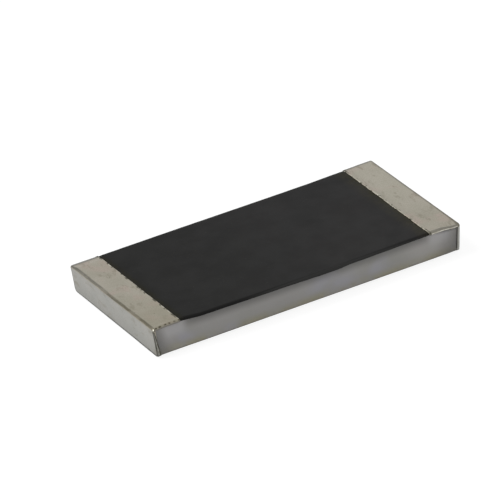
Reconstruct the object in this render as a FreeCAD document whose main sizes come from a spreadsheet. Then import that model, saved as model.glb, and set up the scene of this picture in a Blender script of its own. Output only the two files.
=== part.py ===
import FreeCAD, Part
import os
import Sketcher
from FreeCAD import Vector

# A thick-film chip resistor of case size 2512, in millimetres.
# It lies on its two solder pads. Z is up, X runs from end to end, and the origin is on
# the board under the middle of the chip. The pieces of the right-hand end are modelled,
# and those of the left-hand end are their mirror images.

doc = FreeCAD.newDocument("ChipResistor")
sheet = doc.addObject("Spreadsheet::Sheet", "Sizes")

SIZES = (
    ("ceramic_length", 6.29, "ceramic block along X, at its top face"),
    ("ceramic_width", 3.05, "ceramic block along Y, at its top face"),
    ("ceramic_thick", 0.50, "ceramic block from face to face"),
    ("end_undercut", 0.035, "how far each snapped end leans in towards the underside"),
    ("side_undercut", 0.012, "how far each long side leans in towards the underside"),
    ("edge_break", 0.02, "break of the ceramic block's snapped and scored edges"),
    ("top_terminal", 0.59, "terminal on the top face, from the end of the chip"),
    ("bottom_terminal", 0.50, "solder pad on the underside, from the end of the chip"),
    ("top_electrode", 0.012, "thickness of the printed top electrode"),
    ("bottom_electrode", 0.010, "thickness of the printed bottom electrode"),
    ("pad_margin", 0.09, "bare ceramic between the bottom electrode and a long side"),
    ("edge_film", 0.010, "thickness of the conductor wrapped round the end"),
    ("nickel", 0.008, "thickness of the nickel barrier"),
    ("tin", 0.012, "thickness of the tin plating"),
    ("wrap_top", 0.015, "reach of the edge film along a long side, at the top"),
    ("wrap_bottom", 0.075, "reach of the edge film along a long side, at the bottom"),
    ("foot_rise", 0.022, "slanted foot of the tin's lower corners, over the ceramic's base"),
    ("lip_round", 0.010, "rounding of the tin's inner edge beside the coat"),
    ("resistor_film", 0.010, "thickness of the resistive film"),
    ("film_overlap", 0.15, "length of film lying on each top electrode"),
    ("film_ramp", 0.02, "length of the slope where the film climbs an electrode"),
    ("glass", 0.008, "thickness of the glass over the film"),
    ("glass_margin", 0.04, "glass past the film on every side"),
    ("tongue_margin", 0.02, "electrode past the film on each long side"),
    ("coat_cover", 0.010, "coat over the glass, where the glass is highest"),
    ("coat_border", 0.010, "coat over the electrode, beside the terminal"),
    ("coat_end_roll", 0.14, "length over which the coat thins towards the terminal"),
    ("coat_side_roll", 0.30, "width over which the coat thins towards a long side"),
    ("coat_edge", 0.014, "coat's edge above the ceramic's top face, along a long side"),
    ("roll_gap", 0.01, "gap between the coat's thinning rim and the glass"),
    ("kerf_width", 0.05, "width of the laser trim cut"),
    ("kerf_length", 0.95, "length of the laser trim cut, from the film's front side"),
)
for row, (alias, value, meaning) in enumerate(SIZES, start=1):
    sheet.set(f"A{row}", meaning)
    sheet.set(f"B{row}", str(value))
    sheet.setAlias(f"B{row}", alias)
doc.recompute()

# Levels above the board, each as an expression of the sheet.

PLATING = "(Sizes.edge_film + Sizes.nickel + Sizes.tin)"
CERAMIC_BASE = f"(Sizes.bottom_electrode + {PLATING})"
CERAMIC_TOP = f"({CERAMIC_BASE} + Sizes.ceramic_thick)"
ELECTRODE_TOP = f"({CERAMIC_TOP} + Sizes.top_electrode)"
TIN_TOP = f"({ELECTRODE_TOP} + {PLATING})"
CROWN = f"({ELECTRODE_TOP} + Sizes.resistor_film + Sizes.glass + Sizes.coat_cover)"

# Print and coatings that reach the ceramic's edge stop halfway down its break.

TOP_RIM = f"({CERAMIC_TOP} - Sizes.edge_break / 2)"
BASE_RIM = f"({CERAMIC_BASE} + Sizes.edge_break / 2)"

# Half lengths and half widths. The coat ends where the tin begins, and each layer
# beneath the coat steps back from the one over it.

END = "(Sizes.ceramic_length / 2)"
SIDE = "(Sizes.ceramic_width / 2)"
BASE_END = f"({END} - Sizes.end_undercut)"
PAD_SIDE = f"({SIDE} - Sizes.side_undercut - Sizes.pad_margin)"
CHIP_END = f"({END} + {PLATING})"
COAT_END = f"({CHIP_END} - Sizes.top_terminal)"
PAD_END = f"({CHIP_END} - Sizes.bottom_terminal)"
GLASS_END = f"({COAT_END} - Sizes.coat_end_roll - Sizes.roll_gap)"
FILM_END = f"({GLASS_END} - Sizes.glass_margin)"
TONGUE_END = f"({FILM_END} - Sizes.film_overlap)"
GLASS_SIDE = f"({SIDE} - Sizes.coat_side_roll - Sizes.roll_gap)"
FILM_SIDE = f"({GLASS_SIDE} - Sizes.glass_margin)"
TONGUE_SIDE = f"({FILM_SIDE} + Sizes.tongue_margin)"

# Cutting shapes run past the chip, so that none of their outer faces lies on its skin.

PAST = "(Sizes.ceramic_thick / 2)"
BEYOND_END = f"({CHIP_END} + {PAST})"
BEYOND_SIDE = f"({SIDE} + {PLATING} + {PAST})"
ABOVE = f"({TIN_TOP} + {PAST})"
BELOW = f"(-{PAST})"


def sized(expression):
    """The value that an expression of the sheet has now."""
    return float(sheet.evalExpression(expression))


def new_body(name):
    made = doc.addObject("PartDesign::Body", name)
    made.Label = name
    return made


def origin_plane(body, role):
    return next(each for each in body.Origin.OriginFeatures if each.Role == role)


def new_sketch(body, role, level=None):
    """A sketch on one of the body's own origin planes, raised to a level if one is given."""
    made = body.newObject("Sketcher::SketchObject", f"{body.Name}_sketch")
    made.AttachmentSupport = [(origin_plane(body, role), "")]
    made.MapMode = "FlatFace"
    if level:
        made.setExpression("AttachmentOffset.Base.z", level)
    return made


def tie(sketch, kind, expression, edge, end=None):
    """Tie one coordinate of an edge's end, or an arc's radius, to the sheet."""
    value = sized(expression)
    if end:
        rule = Sketcher.Constraint(kind, -1, 1, edge, end, value)
    else:
        rule = Sketcher.Constraint(kind, edge, value)
    number = sketch.addConstraint(rule)
    sketch.setExpression(f"Constraints[{number}]", expression)


def nearest_end(sketch, edge, place):
    """1 or 2, for the end of the edge that lies at the place."""
    return min((1, 2), key=lambda end: (sketch.getPoint(edge, end) - place).Length)


def outline(sketch, corners, arcs=()):
    """A closed outline through the corners, each tied to the sheet in both directions.

    The side after a corner whose number is in arcs is round, and runs level into its
    higher end.
    """
    places = [Vector(sized(across), sized(up), 0) for across, up in corners]
    for side, start in enumerate(places):
        finish = places[(side + 1) % len(places)]
        if side in arcs:
            low, high = sorted((start, finish), key=lambda place: place.y)
            radius = (high - low).Length ** 2 / (2 * (high.y - low.y))
            centre = Vector(high.x, high.y - radius, 0)
            halfway = (low - centre) + (high - centre)
            sketch.addGeometry(Part.Arc(start, centre + halfway.normalize() * radius, finish))
        else:
            sketch.addGeometry(Part.LineSegment(start, finish))

    for side, (across, up) in enumerate(corners):
        before = (side - 1) % len(corners)
        start = nearest_end(sketch, side, places[side])
        end_before = nearest_end(sketch, before, places[side])
        sketch.addConstraint(Sketcher.Constraint("Coincident", before, end_before, side, start))
        tie(sketch, "DistanceX", across, side, start)
        tie(sketch, "DistanceY", up, side, start)
        if side in arcs:
            next_across, next_up = corners[(side + 1) % len(corners)]
            rise = f"abs({next_up} - {up})"
            run = f"({next_across} - {across})"
            tie(sketch, "Radius", f"(({run})^2 + {rise}^2) / (2 * {rise})", side)


def both_halves(corners):
    """A right-hand half's corners from the bottom up, and their mirror images back down."""
    return [*corners, *((f"-{across}", up) for across, up in reversed(corners))]


def pad(body, sketch, length, centred=False):
    made = body.newObject("PartDesign::Pad", f"{body.Name}_pad")
    made.Profile = sketch
    made.SideType = "Symmetric" if centred else "One side"
    made.setExpression("Length", length)
    return made


def prism(name, role, corners, length, arcs=(), level=None):
    """A body with one outline, padded across an origin plane or up from a level."""
    body = new_body(name)
    sketch = new_sketch(body, role, level)
    outline(sketch, corners, arcs)
    pad(body, sketch, length, centred=level is None)
    return body


def box(name, low, high):
    """A box between two corners, each three expressions of the sheet."""
    made = doc.addObject("Part::Box", name)
    for axis, side, start, finish in zip("xyz", ("Length", "Width", "Height"), low, high):
        made.setExpression(f"Placement.Base.{axis}", start)
        made.setExpression(side, f"{finish} - {start}")
    return made


def joined(name, *pieces):
    made = doc.addObject("Part::MultiFuse", name)
    made.Shapes = pieces
    return made


def shared(name, *pieces):
    made = doc.addObject("Part::MultiCommon", name)
    made.Shapes = pieces
    return made


def seated(name, blank, *beneath):
    """The blank with the room taken by the pieces beneath it cut away."""
    made = doc.addObject("Part::Cut", name)
    made.Label = name
    made.Base = blank
    made.Tool = joined(f"{name}_seat", *beneath) if len(beneath) > 1 else beneath[0]
    made.Refine = True
    return made


def opposite(right_piece):
    """The left-hand end's piece, as the mirror image of the right-hand one."""
    name = right_piece.Name.replace("_right", "_left")
    made = doc.addObject("Part::Mirroring", name)
    made.Label = name
    made.Source = right_piece
    made.Normal = Vector(1, 0, 0)
    return made


# The ceramic block, and the outer form that the chip has after each coating. A coated
# form is the block grown outwards. Its sides keep the snapped slope. The bare block's
# edges are broken flat, and the coatings make them round.

def sloped_block(name, growth="0", over_top="0", under_base="0"):
    """A body with the block's form, grown at its sides, over its top and under its base."""
    body = new_body(name)
    block = body.newObject("PartDesign::AdditiveWedge", f"{name}_block")
    block.AttachmentSupport = [(origin_plane(body, "XZ_Plane"), "")]
    block.MapMode = "FlatFace"
    block.setExpression("Ymin", f"{CERAMIC_BASE} - {under_base}")
    block.setExpression("Ymax", f"{CERAMIC_TOP} + {over_top}")
    for axis, half, undercut in (("X", END, "Sizes.end_undercut"), ("Z", SIDE, "Sizes.side_undercut")):
        lean = f"{undercut} / Sizes.ceramic_thick"
        top_half = f"({half} + {growth} + {over_top} * {lean})"
        base_half = f"({half} + {growth} - {undercut} - {under_base} * {lean})"
        for level, reach in (("", base_half), ("2", top_half)):
            block.setExpression(f"{axis}{level}min", f"-{reach}")
            block.setExpression(f"{axis}{level}max", reach)
    doc.recompute()
    return body


def dress_edges(body, kind, dimension, expression):
    """Chamfer or round every edge of the body's block."""
    block = body.Tip
    made = body.newObject(f"PartDesign::{kind}", f"{body.Name}_edges")
    made.Base = (block, [])
    made.UseAllEdges = True
    made.setExpression(dimension, expression)
    return body


ceramic = dress_edges(sloped_block("ceramic_substrate"), "Chamfer", "Size", "Sizes.edge_break")

# The printed electrodes. The top one runs across the whole width at the end, where the
# sheet was snapped through it, and narrows to a tongue under the coat and the film.
# It starts back from the coat's border by the plating that wraps its inner edge.

SHOULDER = f"({COAT_END} + Sizes.nickel + Sizes.tin)"
PAD_START = f"({PAD_END} + Sizes.nickel + Sizes.tin)"

top_blank = prism(
    "top_electrode_blank",
    "XY_Plane",
    [
        (TONGUE_END, f"-{TONGUE_SIDE}"),
        (SHOULDER, f"-{TONGUE_SIDE}"),
        (SHOULDER, f"-{SIDE}"),
        (END, f"-{SIDE}"),
        (END, SIDE),
        (SHOULDER, SIDE),
        (SHOULDER, TONGUE_SIDE),
        (TONGUE_END, TONGUE_SIDE),
    ],
    f"{ELECTRODE_TOP} - {TOP_RIM}",
    level=TOP_RIM,
)
top_electrode = seated("top_electrode_right", top_blank, ceramic)

bottom_blank = box(
    "bottom_electrode_blank",
    (PAD_START, f"-{PAD_SIDE}", PLATING),
    (BASE_END, PAD_SIDE, BASE_RIM),
)
bottom_electrode = seated("bottom_electrode_right", bottom_blank, ceramic)

# The wrap-round coatings of the end: a conductor from the top electrode over the end to
# the bottom one, then nickel, then tin. Each covers the one before it all over, also at
# its inner edges, so each reaches further along the chip by its own thickness. On the
# long sides they only turn the corner, and reach further at the bottom than at the top.
# Their lower corners slant up from the solder pad to the long sides.

def coated_zone(name, thickness, growth, lip=False):
    """The space that a coating may fill: the end cap, the top terminal and the pad."""
    reach_top = f"({END} - Sizes.wrap_top - {growth})"
    reach_bottom = f"({END} - Sizes.wrap_bottom - {growth})"
    inner = f"({SHOULDER} - {growth})"
    foot_side = f"({PAD_SIDE} + {growth})"
    foot_top = f"({CERAMIC_BASE} + Sizes.foot_rise * {thickness} / {PLATING})"
    corners = [
        (BEYOND_END, BELOW),
        (BEYOND_END, ABOVE),
        (inner, ABOVE),
        (inner, TOP_RIM),
        (reach_top, TOP_RIM),
        (reach_bottom, CERAMIC_BASE),
        (reach_bottom, BELOW),
    ]
    arcs = ()
    if lip:
        corners[2:3] = [
            (f"({inner} + Sizes.lip_round)", ABOVE),
            (f"({inner} + Sizes.lip_round)", TIN_TOP),
            (inner, f"({TIN_TOP} - Sizes.lip_round)"),
        ]
        arcs = (3,)
    cap = prism(f"{name}_cap_zone", "XZ_Plane", corners, f"2 * {BEYOND_SIDE}", arcs)
    foot = prism(
        f"{name}_foot_zone",
        "YZ_Plane",
        both_halves([
            (foot_side, BELOW),
            (foot_side, f"({PLATING} - {thickness})"),
            (f"({SIDE} + {thickness})", foot_top),
            (BEYOND_SIDE, foot_top),
            (BEYOND_SIDE, ABOVE),
        ]),
        f"2 * {BEYOND_END}",
    )
    footed_cap = shared(f"{name}_footed_cap_zone", cap, foot)
    underside = box(
        f"{name}_pad_zone",
        (f"({PAD_START} - {growth})", f"(-{foot_side})", BELOW),
        (END, foot_side, CERAMIC_BASE),
    )
    return joined(f"{name}_zone", footed_cap, underside)


COATINGS = (
    ("edge_film", "Sizes.edge_film", "0"),
    ("nickel_barrier", "(Sizes.edge_film + Sizes.nickel)", "Sizes.nickel"),
    ("tin_plating", PLATING, "(Sizes.nickel + Sizes.tin)"),
)
beneath = [ceramic, top_electrode, bottom_electrode]
coatings = []
for name, thickness, growth in COATINGS:
    form = sloped_block(
        f"{name}_form",
        thickness,
        f"(Sizes.top_electrode + {thickness})",
        f"(Sizes.bottom_electrode + {thickness})",
    )
    dress_edges(form, "Fillet", "Radius", f"Sizes.edge_break + {thickness}")
    zone = coated_zone(name, thickness, growth, lip=name == "tin_plating")
    blank = shared(f"{name}_blank", form, zone)
    coating = seated(f"{name}_right", blank, *beneath)
    beneath.append(coating)
    coatings.append(coating)

right_pieces = [top_electrode, bottom_electrode, *coatings]
doc.recompute()
left_pieces = [opposite(piece) for piece in right_pieces]
left_top_electrode = left_pieces[0]

# The laser trim cut: a straight slit across the current's path, through glass and film.

kerf = box(
    "trim_kerf",
    ("(-Sizes.kerf_width / 2)", f"(-{SIDE})", CERAMIC_TOP),
    ("(Sizes.kerf_width / 2)", f"(-{FILM_SIDE} + Sizes.kerf_length)", CROWN),
)


def stepped_layer(name, half_length, half_width, rise):
    """A printed layer that climbs from the ceramic onto the electrodes."""
    foot = f"({TONGUE_END} - Sizes.film_ramp)"
    return prism(
        name,
        "XZ_Plane",
        both_halves([
            (half_length, CERAMIC_TOP),
            (half_length, f"({ELECTRODE_TOP} + {rise})"),
            (TONGUE_END, f"({ELECTRODE_TOP} + {rise})"),
            (foot, f"({CERAMIC_TOP} + {rise})"),
        ]),
        f"2 * {half_width}",
    )


film_blank = stepped_layer("resistive_film_blank", FILM_END, FILM_SIDE, "Sizes.resistor_film")
film = seated("resistive_film", film_blank, top_electrode, left_top_electrode, kerf)

glass_rise = "(Sizes.resistor_film + Sizes.glass)"
glass_blank = stepped_layer("glass_coat_blank", GLASS_END, GLASS_SIDE, glass_rise)
glass = seated("glass_coat", glass_blank, film, top_electrode, left_top_electrode, kerf)

# The black overcoat. It is flat over the glass, thins in a long curve to the chip's long
# sides, where it turns over the ceramic's broken edge, and in a shorter one to the
# terminals. It fills the trim cut down to the ceramic.

CREST_SIDE = f"({SIDE} - Sizes.coat_side_roll)"
CREST_END = f"({COAT_END} - Sizes.coat_end_roll)"
BORDER_TOP = f"({ELECTRODE_TOP} + Sizes.coat_border)"
OVER_CROWN = f"({CROWN} + Sizes.coat_border / 2)"

across_coat = prism(
    "coat_across",
    "YZ_Plane",
    both_halves([
        (SIDE, TOP_RIM),
        (SIDE, f"({CERAMIC_TOP} + Sizes.coat_edge)"),
        (CREST_SIDE, CROWN),
    ]),
    f"2 * {BEYOND_END}",
    arcs=(1, 3),
)
along_coat = prism(
    "coat_along",
    "XZ_Plane",
    both_halves([
        (COAT_END, f"({TOP_RIM} - {PAST})"),
        (COAT_END, BORDER_TOP),
        (CREST_END, OVER_CROWN),
        (CREST_END, ABOVE),
    ]),
    f"2 * {BEYOND_SIDE}",
    arcs=(1, 5),
)
coat_blank = shared("protective_coat_blank", across_coat, along_coat)
coat = seated("protective_coat", coat_blank, ceramic, top_electrode, left_top_electrode, film, glass)

# Every object must have recomputed, and every piece must be one sound solid.

doc.recompute()
for made in doc.Objects:
    if {"Invalid", "Error"} & set(made.State):
        raise RuntimeError(f"{made.Name} did not build: {made.State}")

os.makedirs("parts", exist_ok=True)
for piece in (ceramic, *right_pieces, *left_pieces, film, glass, coat):
    shape = piece.Shape
    if shape.isNull() or not shape.isValid() or len(shape.Solids) != 1:
        raise RuntimeError(f"{piece.Label} is not one sound solid")
    shape.exportStep(f"parts/{piece.Label}.step")
    print(f"{piece.Label}: {shape.Volume:.5f} mm3, {len(shape.Faces)} faces")
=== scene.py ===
# %% [markdown]
# # A thick-film chip resistor in close-up
# The part is a flat ceramic tile, 6.35 mm long, with a black coat on its top and a tinned
# cap folded round each end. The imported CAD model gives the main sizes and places. This
# lesson builds finer skins for the four pieces that show, fits the layers under the tin to
# them, and gives a finish to every layer.

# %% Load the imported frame
import math

import bmesh
import bpy
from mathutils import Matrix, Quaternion, Vector, noise


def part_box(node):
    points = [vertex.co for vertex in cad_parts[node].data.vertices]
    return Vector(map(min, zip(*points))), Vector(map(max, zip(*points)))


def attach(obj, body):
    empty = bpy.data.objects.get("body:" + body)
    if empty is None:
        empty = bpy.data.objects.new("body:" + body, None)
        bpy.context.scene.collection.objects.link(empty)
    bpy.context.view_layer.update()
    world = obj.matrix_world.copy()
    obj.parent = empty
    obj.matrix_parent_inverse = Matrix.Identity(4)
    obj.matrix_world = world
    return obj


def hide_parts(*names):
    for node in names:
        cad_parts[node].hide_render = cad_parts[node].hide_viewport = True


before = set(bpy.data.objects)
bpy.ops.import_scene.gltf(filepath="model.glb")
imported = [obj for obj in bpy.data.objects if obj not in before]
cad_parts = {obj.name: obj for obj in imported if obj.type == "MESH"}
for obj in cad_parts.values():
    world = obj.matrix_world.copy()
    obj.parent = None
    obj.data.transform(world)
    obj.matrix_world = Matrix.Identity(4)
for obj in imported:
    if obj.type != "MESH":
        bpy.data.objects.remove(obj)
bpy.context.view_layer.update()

MM = 0.001

# %% [markdown]
# ## The camera
# The photograph was taken from far off with a long lens, so the tile's edges stay almost
# parallel. A camera placed by azimuth, elevation and roll round an aim point is easier to
# read than a matrix, and each number can be changed on its own.

# %% Place the camera
CAMERA_AIM = Vector((-0.2154, 0.2056, 0.43795)) * MM
CAMERA_DISTANCE = 127.1635 * MM
CAMERA_AZIMUTH = math.radians(-27.8967)
CAMERA_ELEVATION = math.radians(28.6779)
CAMERA_ROLL = math.radians(-5.0897)
SENSOR_WIDTH = 36.0
FOCAL_PIXELS = 7077.96
PHOTO_PIXELS = 500

backward = Vector((
    math.sin(CAMERA_AZIMUTH) * math.cos(CAMERA_ELEVATION),
    -math.cos(CAMERA_AZIMUTH) * math.cos(CAMERA_ELEVATION),
    math.sin(CAMERA_ELEVATION),
))
camera = bpy.data.objects.new("camera", bpy.data.cameras.new("camera"))
camera.data.sensor_width = SENSOR_WIDTH
camera.data.lens = FOCAL_PIXELS / PHOTO_PIXELS * SENSOR_WIDTH
camera.data.clip_start = 0.01
camera.data.clip_end = 10.0
camera.rotation_mode = "QUATERNION"
camera.location = CAMERA_AIM + backward * CAMERA_DISTANCE
roll = Quaternion(backward, CAMERA_ROLL)
camera.rotation_quaternion = roll @ (-backward).to_track_quat("-Z", "Y")
bpy.context.scene.collection.objects.link(camera)
bpy.context.scene.camera = camera
print("lens in mm:", round(camera.data.lens, 1))

# %% [markdown]
# ## From bmesh to a finished piece
# Each piece is shaped in millimetres, because that is how a maker thinks of it, and is
# brought down to metres at the very end. Its object stays at the origin, unturned, so the
# mesh carries its place and the patterns on it never slide.

# %% Helpers that shape and close a piece
def finished_piece(name, shape, node):
    """The bmesh, in millimetres, as an object in metres that stands for a CAD node."""
    open_edges = sum(len(edge.link_faces) != 2 for edge in shape.edges)
    bmesh.ops.scale(shape, vec=(MM, MM, MM), verts=shape.verts)
    mesh = bpy.data.meshes.new(name)
    shape.to_mesh(mesh)
    shape.free()
    for face in mesh.polygons:
        face.use_smooth = True
    piece = bpy.data.objects.new(name, mesh)
    bpy.context.scene.collection.objects.link(piece)
    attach(piece, "root")
    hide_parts(node)
    print(name, len(mesh.polygons), "faces,", open_edges, "open edges")
    return piece


def in_order(sheet):
    """The vertices of a flat grid, in order of x and then of y."""
    return sorted(sheet.verts, key=lambda vert: (round(vert.co.x, 5), round(vert.co.y, 5)))


def new_verts(extruded):
    """The vertices that an extrusion made."""
    return [each for each in extruded["geom"] if isinstance(each, bmesh.types.BMVert)]


def eased(value, low, high):
    """0 below low, 1 above high, and a smooth rise between them."""
    share = min(1.0, max(0.0, (value - low) / (high - low)))
    return share * share * (3.0 - 2.0 * share)


def mottle(x, y, z, fineness, seed):
    """Smooth noise from about -1 to 1, the same on every run."""
    return noise.noise(Vector((x * fineness + seed, y * fineness - seed, z * fineness)))

# %% [markdown]
# ## Sizes that the pieces share
# The coat's printed border is slightly ragged, and the tin grows right up to it. One
# function gives that border, so the two pieces meet along the same line. On this chip the
# right-hand terminal is a little wider than the left-hand one, as it is in the photograph.
# Where a value depends on the end, -1 stands for the left one and 1 for the right one.

# %% Measure the nodes and define the border
tin_low, tin_high = (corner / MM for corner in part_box("tin_plating_right"))
ceramic_low, ceramic_high = (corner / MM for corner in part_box("ceramic_substrate"))
coat_low, coat_high = (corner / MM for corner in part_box("protective_coat"))

CHIP_TOP = tin_high.z
TILE_TOP = 0.540
ROUND = 0.050  # rounding of the tin's edges
END_LEAN = 0.070  # how far an end leans in for each millimetre down
SIDE_LEAN = 0.024  # the same for a long side
PAD_END = 2.675  # where the solder pad underneath stops
PAD_SIDE = 1.443  # half the solder pad's width
COAT_END = coat_high.x
COAT_SIDE = coat_high.y
BORDER_LEFT = 2.600
BORDER_RIGHT = 2.539
BORDER_SKEW = 0.005
RAGGED = {-1: 0.005, 1: 0.009}
print("tin from", round(tin_low.x, 3), "to", round(tin_high.x, 3), "mm")


def end_face(z):
    """Where the cap's end stands at a height: it leans in towards the board."""
    return tin_high.x - END_LEAN * (CHIP_TOP - ROUND - z)


def side_face(z):
    """Where the cap's long side stands at a height, up to the start of its rounded edge."""
    return tin_high.y - SIDE_LEAN * (CHIP_TOP - ROUND - min(z, CHIP_TOP - ROUND))


def border_shift(y, end):
    """How far the border between coat and tin lies from its place in the CAD model."""
    place = BORDER_RIGHT + BORDER_SKEW * y if end > 0 else BORDER_LEFT
    wave = 0.9 * mottle(y, 0, 0, 2.2, 11.0 * end) + 0.7 * mottle(y, 0, 0, 9.0, 5.0 * end)
    return place - COAT_END + RAGGED[end] * wave

# %% [markdown]
# ## How the tile broke
# Tiles are snapped off a scored sheet, and a snapped side is never quite square. On this
# chip the front side bows: it leans in towards its top near the ends, most of all at the
# left, and its foot stands out at the right. The left end is a little twisted too. Every
# layer that goes round the tile follows it, so one function moves the points of each piece.

# %% Bow the front side and twist the left end
LEAN_LEFT = 0.040
LEAN_LEFT_CAP = 0.075
LEAN_LEFT_CORNER = -0.030
LEAN_RIGHT = 0.026
LEAN_RIGHT_CAP = 0.009
FOOT = 0.010
END_TWIST = 0.012
HEEL_RISE = 0.015
HEEL_RISE_TOP = 0.20
BACK_DROP = 0.009


def lean(x):
    """How far the front side's upper edge lies back from its place in the CAD model."""
    left = LEAN_LEFT * eased(-x, 0.30, 2.30) + LEAN_LEFT_CAP * eased(-x, 2.10, 2.65)
    left += LEAN_LEFT_CORNER * eased(-x, 2.90, 3.17)
    right = LEAN_RIGHT * eased(x, 0.95, 2.50) + LEAN_RIGHT_CAP * eased(x, 2.35, 2.60)
    return left + right * (1.0 - eased(x, 2.80, 3.05))


def follow_the_break(shape):
    """Moves the points of a piece to where the uneven tile has them."""
    for vert in shape.verts:
        x, y, z = vert.co
        high, low = z / CHIP_TOP, 1.0 - z / CHIP_TOP
        foot = FOOT * eased(x, -1.0, 2.6) * (1.0 - eased(x, 2.85, 3.05))
        rise = HEEL_RISE * (1.0 - min(1.0, z / HEEL_RISE_TOP))
        vert.co.y += (lean(x) * high - foot * low) * eased(-y, 1.15, 1.45)
        vert.co.x -= END_TWIST * low * eased(-y, 0.20, 1.50) * eased(-x, 2.95, 3.10)
        vert.co.z += rise * eased(y, -0.20, 1.40) * eased(-x, 3.04, 3.14)
        vert.co.z -= BACK_DROP * high * eased(y, 1.30, 1.50) * eased(-x, 2.60, 2.66)


def cut_across(shape, axis, places):
    """Cuts the shape right through at each place along an axis."""
    normal = Vector([1.0 if number == axis else 0.0 for number in range(3)])
    for place in places:
        everything = shape.verts[:] + shape.edges[:] + shape.faces[:]
        bmesh.ops.bisect_plane(shape, geom=everything, plane_co=normal * place, plane_no=normal)

# %% [markdown]
# ## The tin caps
# On the real chip the plating is a thin skin folded round the end like a letter C, with a
# rim that turns each corner of the long sides. It could be cut from a block, but a skin
# keeps even faces for small dents. A flat grid is laid out like the unfolded foil: one
# direction runs across the chip, the other from the top, over the ridge and down the end
# to the solder pad. Each row is a station on that path. It has a place on the surface and
# one on the rim behind it, so the rim can turn more tightly than the surface does.

# %% Lay out the stations of the foil
LIP = 0.012
LIP_STEPS = 4
CURLS = (0.028, 0.020)  # depths of the hidden rows at a free edge
FOIL = 0.010
SPACING = 0.022
RIDGE_STEPS = 8
HEEL_STEPS = 6
RIM_TOP = 0.530
RIM_BASE = 0.038
RIM_ROUND = 0.010
WRAPS = {-1: (0.032, 0.080), 1: (0.074, 0.084)}  # the rim's width at its top and base


def rim_edge(end, z):
    """Where the rim stops along a long side: its reach grows towards the board."""
    top, base = WRAPS[end]
    return end_face(z) - base - (top - base) * (z - RIM_BASE) / (RIM_TOP - RIM_BASE)


def lip(x, z, rim_z, angle):
    """Stations of a rounded inner edge, from its hidden curl to the level foil."""
    curls = [(0.0, depth) for depth in CURLS]
    for step in range(LIP_STEPS + 1):
        turn = math.radians(90 * step / LIP_STEPS)
        curls.append((LIP * (1 - math.cos(turn)), LIP * (1 - math.sin(turn))))
    return [(Vector((x + offset, z)), Vector((x + offset, rim_z)), angle, curl) for offset, curl in curls]


def straight(first, last, angle):
    """Stations between two others, evenly spaced along the surface."""
    steps = max(2, round((last[0] - first[0]).length / SPACING))
    shares = [step / steps for step in range(1, steps)]
    return [(first[0].lerp(last[0], share), first[1].lerp(last[1], share), angle, 0.0) for share in shares]


def bend(centre, rim_centre, start, finish, steps):
    """Stations round a bend, from one angle to another."""
    stations = []
    for step in range(steps + 1):
        angle = start + (finish - start) * step / steps
        outward = Vector((math.cos(math.radians(angle)), math.sin(math.radians(angle))))
        stations.append((centre + outward * ROUND, rim_centre + outward * RIM_ROUND, angle, 0.0))
    return stations


def foil_stations(end):
    """Rows of the foil, each a place on the surface, one on the rim, an angle and a curl."""
    tilt = -math.degrees(math.atan(END_LEAN))
    inset = ROUND / math.cos(math.atan(END_LEAN))
    ridge = bend(
        Vector((end_face(CHIP_TOP - ROUND) - inset, CHIP_TOP - ROUND)),
        Vector((rim_edge(end, RIM_TOP) - RIM_ROUND, RIM_TOP - RIM_ROUND)),
        90, tilt, RIDGE_STEPS,
    )
    heel = bend(
        Vector((end_face(ROUND) - inset, ROUND)),
        Vector((rim_edge(end, RIM_BASE) - RIM_ROUND, RIM_BASE + RIM_ROUND)),
        tilt, -90, HEEL_STEPS,
    )
    border_lip = lip(COAT_END, CHIP_TOP, RIM_TOP, 90)
    pad_lip = lip(PAD_END, 0.0, RIM_BASE, -90)[::-1]
    return [
        *border_lip,
        *straight(border_lip[-1], ridge[0], 90),
        *ridge,
        *straight(ridge[-1], heel[0], tilt),
        *heel,
        *straight(heel[-1], pad_lip[0], -90),
        *pad_lip,
    ]


def walked(stations):
    """The distance along the surface from the ridge's middle to each station."""
    places = [surface + (rim - surface).normalized() * curl for surface, rim, _, curl in stations]
    gone = [0.0]
    for place, following in zip(places, places[1:]):
        gone.append(gone[-1] + (following - place).length)
    ridge = min(range(len(stations)), key=lambda number: abs(stations[number][2] - 45))
    return [far - gone[ridge] for far in gone]

# %% [markdown]
# Across the chip each row has the same number of columns: the rim's hidden curl, the rim
# itself, the rounded corner, and the flat middle. The tile's upright corners were broken
# when it was snapped, so the foil goes round them in a flatter bend than along the top.

# %% Lay out the columns of the foil
RIM_CURLS = (0.0300, 0.0210)  # how far the hidden columns reach in behind the rim
RIM_STEPS = 3
FLAT_STEPS = 4
CORNER_STEPS = 8
CURL_COLUMNS = len(RIM_CURLS) + RIM_STEPS
RIM_GAP = 0.003  # the least flat width left between a rim's lip and its corner
TOP_SHOULDER = 0.042
CORNERS = {-1: (0.050, 0.065, 0.038), 1: (0.085, 0.085, 0.048)}  # width at top and base, depth


def shoulder_at(end, z, angle):
    """The size of the foil's rounded corner, across the chip and behind the surface."""
    top, base, behind = CORNERS[end]
    upright = base + (top - base) * z / CHIP_TOP
    turned = eased(90 - angle, 10, 70)
    across = TOP_SHOULDER + (upright - TOP_SHOULDER) * turned
    return across, TOP_SHOULDER + (behind - TOP_SHOULDER) * turned


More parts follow.
